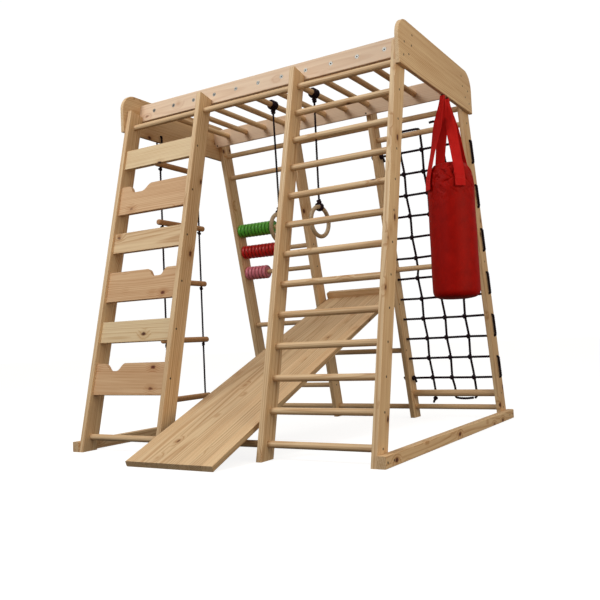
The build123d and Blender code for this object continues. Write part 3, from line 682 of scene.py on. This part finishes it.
def strand_top(number, x):
    """How a strand comes over the upper bar."""
    top, behind = NET_UPPER + NET_REACH, BAR_ACROSS - NET_REACH
    if number == 1:
        # the rope that lies along the top of the upper bar from the first strand's place
        route = [(NET_STRAND_X[0] + 6, BAR_ACROSS - 4, top), (372, BAR_ACROSS + 2, top)]
        route += [(400, BAR_ACROSS + 3, top), (428, BAR_ACROSS + 1, top)]
        route += [(446, BAR_ACROSS - 6, top), (x, behind + 3, top - 4)]
    else:
        route = [(x + 3, BAR_ACROSS + 6, top), (x, BAR_ACROSS - 8, top)]
        route += [(x, behind, NET_UPPER + 8)]
    return route + [(x, behind, NET_UPPER - 4), (x, behind, NET_UPPER - 21)]


def strand_foot(number, x, strand):
    """How a strand goes under the lower bar. The first one ends there in a knot with a tail."""
    under, behind = NET_LOWER - NET_LOW_REACH, BAR_ACROSS - NET_LOW_REACH
    route = [(x, behind, NET_LOWER + 25), (x, behind, under + 5), (x, behind + 10, under)]
    if number == 0:
        route += [(x + 2, BAR_ACROSS, under - 1)]
        add_knot(strand, net_point(x + 4, BAR_ACROSS, under - 5), 12 * MM, SIDEWAYS, 0.5)
        tail = [(x + 3, BAR_ACROSS, under - 6), (x - 3, BAR_ACROSS + 5, under - 14)]
        add_net_rope(strand, tail + [(x - 7, BAR_ACROSS + 3, under - 25)])
    elif number == 1:
        route += [(x + 10, BAR_ACROSS, under - 1), (x + 36, BAR_ACROSS + 2, under - 4)]
        route += [(x + 72, BAR_ACROSS + 2, under - 4), (x + 97, BAR_ACROSS, under - 1)]
    else:
        route += [(x, BAR_ACROSS + 3, under)]
    return route


def build_strands(rope, wobbles, draw):
    """The ropes that hang down behind the rows, with a knot at each crossing."""
    behind = BAR_ACROSS - NET_REACH
    knots = Build()
    for number, x in enumerate(NET_STRAND_X):
        route = strand_top(number, x)
        for row, wobble in enumerate(wobbles):
            along = net_row(row) + wobble[number]
            if row and net_row(row - 1) > NET_MIDDLE > along:
                route += [(x, behind, NET_MIDDLE + 18), (x, behind, NET_MIDDLE - 18)]
            shift = NET_SWAY if (row + number) % 2 else -NET_SWAY
            route += [(x + shift, NET_BEHIND, along + up) for up in (12, -12)]
            crossing = net_point(x + shift, BAR_ACROSS - 4, along)
            turn = draw.uniform(-0.35, 0.35) + math.pi / 2
            add_knot(knots, crossing, 13.2 * MM, UPRIGHT, turn, 4.9 * MM)
        strand = Build()
        add_net_rope(strand, route + strand_foot(number, x, strand))
        strand.make(f"net_strand_{number + 1}", rope, "frame")
    knots.make("net_knots", rope, "frame")


def build_net_loose_ends(rope):
    """The knot over the upper bar at the third strand, with its loose end."""
    loose = Build()
    across, top = BAR_ACROSS - 2, NET_UPPER + NET_REACH
    end = [(560, across, top + 5), (550, across, top + 14)]
    add_net_rope(loose, end + [(532, across - 1, top + 20), (512, across, top + 17)])
    add_knot(loose, net_point(561, across, top + 5), 12 * MM, SIDEWAYS, 0.3)
    loose.make("net_loose_ends", rope, "frame")


def build_net(rope):
    draw = random.Random(11)
    wobbles = []
    for _ in range(NET_ROWS):
        wobbles.append([draw.uniform(-NET_WOBBLE, NET_WOBBLE) for _ in NET_STRAND_X])
    build_lacing(rope, wobbles)
    build_strands(rope, wobbles, draw)
    build_net_loose_ends(rope)


# ---- rings ----
# each ring rope: x, y, and how far it hangs off plumb, in degrees
RINGS = {"left": (-120, -5, 1.23), "right": (120, -27, 0)}
RING_KNOT_Z = 1049
# the rope winds round the top of the ring, about this height and at this distance
RING_WIRE_Z = 1024
RING_WIND = 14.8
HITCH_KNOT_Z = 1515
# how far below the middle of its upper knot a hanging rope starts
KNOT_FOOT = 12.3
WINDING_STEPS = 12
# a smooth line winds inside its points, at this share of their distance
WINDING_SHARE = 0.966


def wound(centre, radius, first, turns, pitch):
    """Points of a rope wound round a bar along Y, from the first angle on."""
    x, y, z = centre
    far = radius / WINDING_SHARE
    places = []
    for i in range(turns * WINDING_STEPS + 1):
        a = first + 2 * math.pi * i / WINDING_STEPS
        along = (i / WINDING_STEPS - turns / 2) * pitch
        places.append((x + far * math.cos(a), y + along, z + far * math.sin(a)))
    return places


def build_ring_hitch(rope, name, x, y):
    """The ring rope's turns round its monkey bar, and the knot below them."""
    hitch = Build()
    reach = BAR_RADIUS + ROPE + 0.3
    route = [(x, y - 2, HITCH_KNOT_Z + 4)]
    route += wound((x, y, MONKEY_Z), reach, -math.pi / 2, 4, 10.5)
    route += [(x, y + 2, HITCH_KNOT_Z + 4)]
    add_rope(hitch, line_of([at(*p) for p in route]), step=WOUND_STEP)
    add_knot(hitch, at(x, y, HITCH_KNOT_Z), 13 * MM, UPRIGHT, 0.8)
    made = hitch.make(f"{name}_ring_hitch", rope, "frame")
    if name == "left":
        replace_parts(made, "rope_hitches")


def build_ring_rope(rope, name, x, y, off):
    """The hanging rope, its turns round the ring and the knot above them."""
    pivot = Vector((x, y, HITCH_KNOT_Z))
    lean = Matrix.Rotation(-math.radians(off), 3, "Y")

    def hung(*spot):
        """A point of the hanging rope, turned off plumb about its knot at the bar."""
        return at(*(lean @ (Vector(spot) - pivot) + pivot))

    swing = f"{name}_ring_swing"
    top = HITCH_KNOT_Z - KNOT_FOOT
    heights = (top, top - 24, 1400, 1300, 1200, 1120, RING_KNOT_Z + 24, RING_KNOT_Z)
    line = line_of([hung(x, y, z) for z in heights])
    cord = Build()
    add_rope(cord, line)
    piece = cord.make(f"{name}_ring_rope_laid", rope, swing)
    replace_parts(piece, f"{name}_ring_rope")
    loop = Build()
    route = [(x, y, RING_KNOT_Z - 3)]
    route += wound((x, y, RING_WIRE_Z), RING_WIND, math.pi / 2, 2, 10.4)
    route += [(x, y, RING_KNOT_Z - 3)]
    add_rope(loop, line_of([hung(*p) for p in route]), step=WOUND_STEP)
    add_knot(loop, hung(x, y, RING_KNOT_Z), 12.5 * MM, UPRIGHT, 0.3)
    knot = loop.make(f"{name}_ring_knot", rope, swing)


def build_rings(rope):
    for name, (x, y, off) in RINGS.items():
        build_ring_hitch(rope, name, x, y)
        build_ring_rope(rope, name, x, y, off)


# ---- rope ladder ----
LADDER_X = -701
LADDER_ROPES = {"front": -159, "rear": 125}
LADDER_KNOT_Z = 1415
LADDER_HOLE_Z = 1467
LADDER_RUNGS = (1330, 1038, 746, 454, 162)
# how far below its rung's middle a stop knot sits: the rung's radius, a gap, and the knot's own
STOP_BELOW = 14 + 0.1 + 10
END_BOARD_LOW = 1437
END_BOARD_HALF = 9


def build_rope_ladder(rope):
    out = END_BOARD_HALF + ROPE + 2.5
    edge = END_BOARD_LOW - ROPE - 1
    # one side of a rope's loop through the end board: distance from the board's middle, and height
    half = [(3, LADDER_KNOT_Z), (out, edge), (out, edge + 14), (out, LADDER_HOLE_Z - 10)]
    half += [(out, LADDER_HOLE_Z), (6, LADDER_HOLE_Z)]
    top = LADDER_KNOT_Z - KNOT_FOOT
    stops = [z - STOP_BELOW for z in LADDER_RUNGS]
    low = stops[-1] - 30
    for name, y in LADDER_ROPES.items():
        hitch = Build()
        route = [at(LADDER_X - off, y, z) for off, z in half]
        route += [at(LADDER_X + off, y, z) for off, z in reversed(half)]
        add_rope(hitch, line_of(route), step=WOUND_STEP)
        add_knot(hitch, at(LADDER_X, y, LADDER_KNOT_Z), 12.5 * MM, UPRIGHT, 0.9)
        hitch.make(f"ladder_hitch_{name}", rope, "frame")

        heights = (top, top - 24, *LADDER_RUNGS, low + 20, low)
        line = line_of([at(LADDER_X, y, z) for z in heights])
        cord = Build()
        add_rope(cord, line)
        piece = cord.make(f"ladder_rope_{name}_laid", rope, "rope_ladder")
        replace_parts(piece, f"ladder_rope_{name}")
        knots = Build()
        for number, z in enumerate(stops):
            add_knot(knots, at(LADDER_X, y, z), 11.5 * MM, UPRIGHT, 0.5 * number, 4.2 * MM)
        stop = knots.make(f"ladder_stops_{name}", rope, "rope_ladder")


# ---- punch bag ----
BAG_X, BAG_Y = 701, 87
BAG_RADIUS = 104
BAG_LOW, BAG_HIGH = 568, 1148
BAG_DRAWN_IN = 22
# how far the filling may push the skin out, in metres
BAG_SWELL = 0.0045
BAG_SIDES = 144
BAG_STEPS = 60
BAG_VOXEL = 0.006
# the rounding at the foot and at the shoulder, and how far the ends are hollowed
BAG_FOOT, BAG_SHOULDER, BAG_HOLLOW = 30, 14, 6
CREASE_DEEP = 3.0
SETTLE_DEEP = 0.4
FILL_FRAMES = 20
EYE_Z = 1428
EYE_RADIUS = 7
EYE_WIRE = 2
# each strap: its eye's place along Y, and the bearings of its two legs on the bag
STRAPS = ((45, (-135, 139)), (100, (-48, 66)))
# the heights of a leg's sewn end and of the place where it leaves the bag, and heights between
STRAP_LOW = 1031
STRAP_LEAVES = 1118
STRAP_HEIGHTS = (STRAP_LOW, 1045, 1062, 1080, 1100, STRAP_LEAVES)
STRAP_OFF = 1.8
STRAP_WIDE, STRAP_THIN = 45, 2.4
GATHERED_WIDE, GATHERED_THICK = 18, 8.5
STRAP_STEP = 0.003
STITCH_ACROSS = 18.5
STITCH_UPS = (5, 33, 40)
STITCH_PITCH = 3.7


def bag_radius(z):
    """The radius of the filled bag, which is drawn in above the straps' ends."""
    drawn = min(1.0, max(0.0, (z - STRAP_LOW) / (BAG_HIGH - STRAP_LOW)))
    return BAG_RADIUS + 0.5 - 1.5 * smooth_step((z - 640) / 390) - BAG_DRAWN_IN * drawn**2


def bag_outline():
    """The radius and height of the unfilled bag from the middle of its base to that of its top."""
    low, high = BAG_LOW + BAG_HOLLOW, BAG_HIGH - BAG_HOLLOW
    body = bag_radius(BAG_LOW) - BAG_SWELL / MM
    outline = [(0.5, low - 1), (body * 0.4, low - 1), (body - BAG_FOOT, low)]
    for i in range(1, 7):
        a = math.radians(15 * i)
        z = low + BAG_FOOT * (1 - math.cos(a))
        outline.append((body - BAG_FOOT + BAG_FOOT * math.sin(a), z))
    tall = high - low - BAG_FOOT - BAG_SHOULDER
    for i in range(1, BAG_STEPS):
        z = low + BAG_FOOT + tall * i / BAG_STEPS
        outline.append((bag_radius(z) - BAG_SWELL / MM, z))
    body = bag_radius(BAG_HIGH) - BAG_SWELL / MM
    for i in range(7):
        a = math.radians(15 * i)
        z = high - BAG_SHOULDER * (1 - math.sin(a))
        outline.append((body - BAG_SHOULDER * (1 - math.cos(a)), z))
    return outline + [(body * 0.5, high + 1), (0.5, high + 1)]


def inflate(obj, swell):
    """Fills the bag with the cloth simulation, and lets no point move further than swell."""
    scene = bpy.context.scene
    cloth = obj.modifiers.new("cloth", "CLOTH")
    cloth.settings.quality = 5
    cloth.settings.use_pressure = True
    cloth.settings.uniform_pressure_force = 4
    cloth.settings.effector_weights.gravity = 0
    cloth.settings.tension_stiffness = 12
    cloth.settings.bending_stiffness = 0.6
    cloth.point_cache.frame_start = 1
    cloth.point_cache.frame_end = FILL_FRAMES
    for number in range(1, FILL_FRAMES + 1):
        scene.frame_set(number)
    graph = bpy.context.evaluated_depsgraph_get()
    filled = obj.evaluated_get(graph).to_mesh()
    before = np.array([v.co for v in obj.data.vertices])
    after = np.array([v.co for v in filled.vertices])
    obj.evaluated_get(graph).to_mesh_clear()
    obj.modifiers.remove(cloth)
    scene.frame_set(1)
    move = after - before
    far = np.linalg.norm(move, axis=1, keepdims=True)
    move *= np.minimum(1.0, swell / np.maximum(far, 1e-9))
    obj.data.vertices.foreach_set("co", (before + move).astype(np.float32).ravel())
    obj.data.update()


def bake_modifiers(obj):
    graph = bpy.context.evaluated_depsgraph_get()
    mesh = bpy.data.meshes.new_from_object(obj.evaluated_get(graph))
    obj.modifiers.clear()
    obj.data = mesh


def crease_bag(bag):
    """Pulls the cloth in along slanting folds near its top, and lets the filling settle."""
    mesh = bag.data
    co = np.array([v.co for v in mesh.vertices])
    centre = np.array(at(BAG_X, BAG_Y, 0))
    rel = co - centre
    radius = np.hypot(rel[:, 0], rel[:, 1])
    bearing = np.arctan2(rel[:, 1], rel[:, 0])
    height = co[:, 2] / MM
    top = np.clip((height - 965) / 110, 0, 1) * np.clip((BAG_HIGH - 2 - height) / 14, 0, 1)
    wander = bearing + 0.10 * np.sin(height * 0.09 + 3 * bearing) + 0.05 * np.sin(height * 0.21)
    slant = np.sin(wander * 13 + height * 0.060)
    slant += 0.7 * np.sin(wander * 9 - height * 0.095 + 1.1)
    slant += 0.6 * np.sin(wander * 29 + height * 0.15 + 0.4)
    slant += 0.4 * np.sin(wander * 37 - height * 0.2)
    settle = np.sin(bearing * 3 + height * 0.011) + np.sin(height * 0.031 + 2 * np.sin(bearing))
    move = SETTLE_DEEP * (settle - 2) - CREASE_DEEP * top * np.maximum(slant, 0)
    new = np.maximum(radius + move * MM * (radius > 0.06), 0.0)
    scale = np.where(radius > 1e-6, new / np.maximum(radius, 1e-6), 1.0)
    rel[:, 0] *= scale
    rel[:, 1] *= scale
    mesh.vertices.foreach_set("co", (rel + centre).astype(np.float32).ravel())
    mesh.update()


def build_bag(cloth):
    build = Build()
    rings = []
    for r, z in bag_outline():
        rings.append([at(BAG_X + r * c, BAG_Y + r * d, z) for c, d in circle(BAG_SIDES)])
    build.rings(rings)
    bag = build.make("bag_body", cloth, "hanging_bag")
    remesh = bag.modifiers.new("remesh", "REMESH")
    remesh.mode = "VOXEL"
    remesh.voxel_size = BAG_VOXEL
    bake_modifiers(bag)
    inflate(bag, BAG_SWELL)
    smooth = bag.modifiers.new("smooth", "SUBSURF")
    smooth.levels = 1
    smooth.render_levels = 1
    bake_modifiers(bag)
    crease_bag(bag)
    mesh = bag.data
    mesh.polygons.foreach_set("use_smooth", [True] * len(mesh.polygons))
    mesh.materials.clear()
    mesh.materials.append(cloth)
    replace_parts(bag, "punch_bag")


# half of a strap's section, as shares of half its width and half its thickness
STRAP_EDGE = ((-1, -0.35), (-0.97, -1), (-0.5, -1), (0, -1), (0.5, -1), (0.97, -1), (1, -0.35))
STRAP_SECTION = STRAP_EDGE + tuple((-a, -b) for a, b in STRAP_EDGE)


def leg_ways(bearing):
    """The way out of the bag at a strap's leg, and the way across the leg."""
    a = math.radians(bearing)
    out = Vector((math.cos(a), math.sin(a), 0))
    side = Vector((-math.sin(a), math.cos(a), 0))
    if side.x < 0:
        side = -side
    return out, side


def leg_places(out, eye_y, way, fold_z):
    """The points of a strap's leg, from its sewn end on the bag to close below the eye."""
    middle = Vector((BAG_X, BAG_Y, 0))
    places = []
    for z in STRAP_HEIGHTS:
        places.append(middle + out * (bag_radius(z) + STRAP_OFF) + Vector((0, 0, z)))
    start = places[-1]
    near = Vector((BAG_X, eye_y + way * 9, fold_z - 22))
    return places + [start.lerp(near, share) for share in (0.35, 0.7, 1.0)]


def add_strap(build, eye_y, legs):
    """Adds a flat strap from the bag up to its eye, where it is gathered, and back to the bag."""
    fold_z = EYE_Z - EYE_RADIUS + EYE_WIRE + 4.5
    fold = at(BAG_X, eye_y, fold_z)
    up, down = (leg_places(out, eye_y, way, fold_z) for way, (out, _) in zip((-1, 1), legs))
    over = [(BAG_X, eye_y + y, fold_z + z) for y, z in ((-4, -1), (-2, 1), (2, 1), (4, -1))]
    line, far = evenly(line_of([at(*p) for p in up + over + down[::-1]]), STRAP_STEP)
    apex = min(range(len(line)), key=lambda i: (line[i] - fold).length)
    rings = []
    for i, (place, (tangent, _)) in enumerate(zip(line, turning_frames(line))):
        away = abs(far[i] - far[apex])
        opened = smooth_step((away - 0.004) / 0.16)
        thinned = smooth_step(away / 0.10)
        half_wide = (GATHERED_WIDE + (STRAP_WIDE - GATHERED_WIDE) * opened) * MM / 2
        half_thick = (GATHERED_THICK + (STRAP_THIN - GATHERED_THICK) * thinned) * MM / 2
        across = legs[0 if i <= apex else 1][1]
        side = Vector((1, 0, 0)).lerp(across, smooth_step((away - 0.05) / 0.22))
        side = (side - tangent * side.dot(tangent)).normalized()
        out = side.cross(tangent).normalized()
        wide, thick = side * half_wide, out * half_thick
        rings.append([place + wide * a + thick * b for a, b in STRAP_SECTION])
    build.rings(rings)


def add_stitch(build, middle, way, out):
    """One stitch: a short thread that rises out of the webbing and dips back in."""
    other = way.cross(out)
    dipped, raised = (-0.3, 0.2), (0.15, 0.4)
    rings = []
    for along, (lift, thick) in zip((-1.3, -0.7, 0.7, 1.3), (dipped, raised, raised, dipped)):
        centre = middle + way * along + out * lift
        rings.append([at(*(centre + (out * c + other * d) * thick)) for c, d in circle(6)])
    build.rings(rings)


def add_stitching(build, out, side):
    """Thread round the sewn end of a strap's leg, with a second cross line near its top."""

    def on_strap(across, up):
        z = STRAP_LOW + up
        lift = bag_radius(z) + STRAP_OFF + STRAP_THIN / 2
        return Vector((BAG_X, BAG_Y, z)) + out * lift + side * across

    low, high = STITCH_UPS[0], STITCH_UPS[-1]
    lines = [((across, low), (across, high)) for across in (-STITCH_ACROSS, STITCH_ACROSS)]
    lines += [((-STITCH_ACROSS, up), (STITCH_ACROSS, up)) for up in STITCH_UPS]
    for start, end in lines:
        start = on_strap(*start)
        way = on_strap(*end) - start
        count = int(way.length / STITCH_PITCH)
        for i in range(count):
            add_stitch(build, start + way * ((i + 0.5) / count), way.normalized(), out)


def build_straps(webbing, thread):
    stitches = Build()
    for number, (eye_y, bearings) in enumerate(STRAPS):
        legs = [leg_ways(bearing) for bearing in bearings]
        build = Build()
        add_strap(build, eye_y, legs)
        piece = build.make(f"bag_strap_{number + 1}", webbing, "hanging_bag")
        if number == 0:
            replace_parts(piece, "bag_straps")
        for out, side in legs:
            add_stitching(stitches, out, side)
    stitches.make("bag_stitching", thread, "hanging_bag")


# ---- stage ----
STAGE_REACH = 30.0
STAGE_SIDES = 48
FLOOR_REACHES = (STAGE_REACH, 6.0, 1.5)
# the floor lies just below the gym's feet
FLOOR_Z = -0.0005
DOME_STEPS = 24
FLOOR_GLOW, BACKDROP_GLOW = 0.86, 1.02
# from the first height of the sky to the second, its brightness goes from the third to the fourth
SKY = (-0.5, 1.0, 0.05, 0.60)
SKY_COLOUR = (1.0, 0.93, 0.84, 1)
WHITE, BLACK = (1, 1, 1, 1), (0, 0, 0, 1)


def stage_piece(name, build, material):
    """A piece of the studio. It is seen, and throws no light on the object."""
    mesh = bpy.data.meshes.new(name)
    mesh.from_pydata([tuple(p) for p in build.points], [], build.faces)
    mesh.materials.append(material)
    obj = bpy.data.objects.new(name, mesh)
    bpy.context.scene.collection.objects.link(obj)
    obj.visible_diffuse = False
    obj.visible_glossy = False
    obj.visible_transmission = False
    obj.visible_shadow = False


def stage_ring(reach, z):
    return [Vector((reach * c, reach * d, z)) for c, d in circle(STAGE_SIDES)]


def add_floor():
    build = Build()
    build.rings([stage_ring(reach, FLOOR_Z) for reach in FLOOR_REACHES])
    paint = Paint("studio_floor")
    speckle = paint.noise(paint.place(), 40, 2)
    colour = paint.mix(speckle, (0.30, 0.30, 0.30, 1), (0.34, 0.34, 0.34, 1))
    paint.set(
        Base_Color=colour, Roughness=0.9, Specular_IOR_Level=0.0,
        Emission_Color=WHITE, Emission_Strength=FLOOR_GLOW,
    )
    stage_piece("floor", build, paint.material)


def add_backdrop():
    """A white dome that closes over and under the floor."""
    build = Build()
    rings = []
    for step in range(1, DOME_STEPS):
        tilt = math.pi * step / DOME_STEPS
        rings.append(stage_ring(STAGE_REACH * math.sin(tilt), STAGE_REACH * math.cos(tilt)))
    build.rings(rings)
    paint = Paint("studio_backdrop")
    paint.set(
        Base_Color=BLACK, Specular_IOR_Level=0.0,
        Emission_Color=WHITE, Emission_Strength=BACKDROP_GLOW,
    )
    stage_piece("backdrop", build, paint.material)


def add_area(name, place, target, size, power, colour):
    data = bpy.data.lights.new(name, "AREA")
    data.shape = "RECTANGLE"
    data.size = data.size_y = size
    data.energy = power
    data.color = colour
    light = bpy.data.objects.new(name, data)
    bpy.context.scene.collection.objects.link(light)
    way = Vector(target) - Vector(place)
    light.rotation_mode = "QUATERNION"
    light.rotation_quaternion = way.to_track_quat("-Z", "Y")
    light.location = place


def add_lights():
    scene = bpy.context.scene
    scene.view_settings.view_transform = "Standard"
    world = bpy.data.worlds.new("studio")
    world.use_nodes = True
    scene.world = world
    tree = world.node_tree
    spot = tree.nodes.new("ShaderNodeTexCoord").outputs["Generated"]
    parts = tree.nodes.new("ShaderNodeSeparateXYZ")
    tree.links.new(spot, parts.inputs[0])
    sky = tree.nodes.new("ShaderNodeMapRange")
    for socket, value in zip(sky.inputs[1:5], SKY):
        socket.default_value = value
    tree.links.new(parts.outputs[2], sky.inputs[0])
    background = tree.nodes["Background"]
    background.inputs[0].default_value = SKY_COLOUR
    tree.links.new(sky.outputs[0], background.inputs[1])
    add_area("key", (-1.3, -3.0, 3.6), (0, 0, 0.8), 1.6, 92, (0.94, 0.98, 1.0))
    add_area("side", (3.6, -0.9, 1.5), (0, 0, 0.7), 2.2, 42, (1.0, 0.86, 0.64))


rope_paint = rope_material()
finish_wood()
finish_discs()
finish_hardware()
add_bolt_sockets()
build_net(rope_paint)
build_rings(rope_paint)
build_rope_ladder(rope_paint)
build_bag(cloth_material("red_cloth", (132, 5, 2), (196, 20, 8), 1400, 0.42, 0.25, 0.0))
build_straps(
    cloth_material("red_webbing", (196, 14, 14), (236, 46, 42), 520, 0.6, 0.7, 0.03),
    thread_material(),
)
add_floor()
add_backdrop()
add_lights()
add_camera()
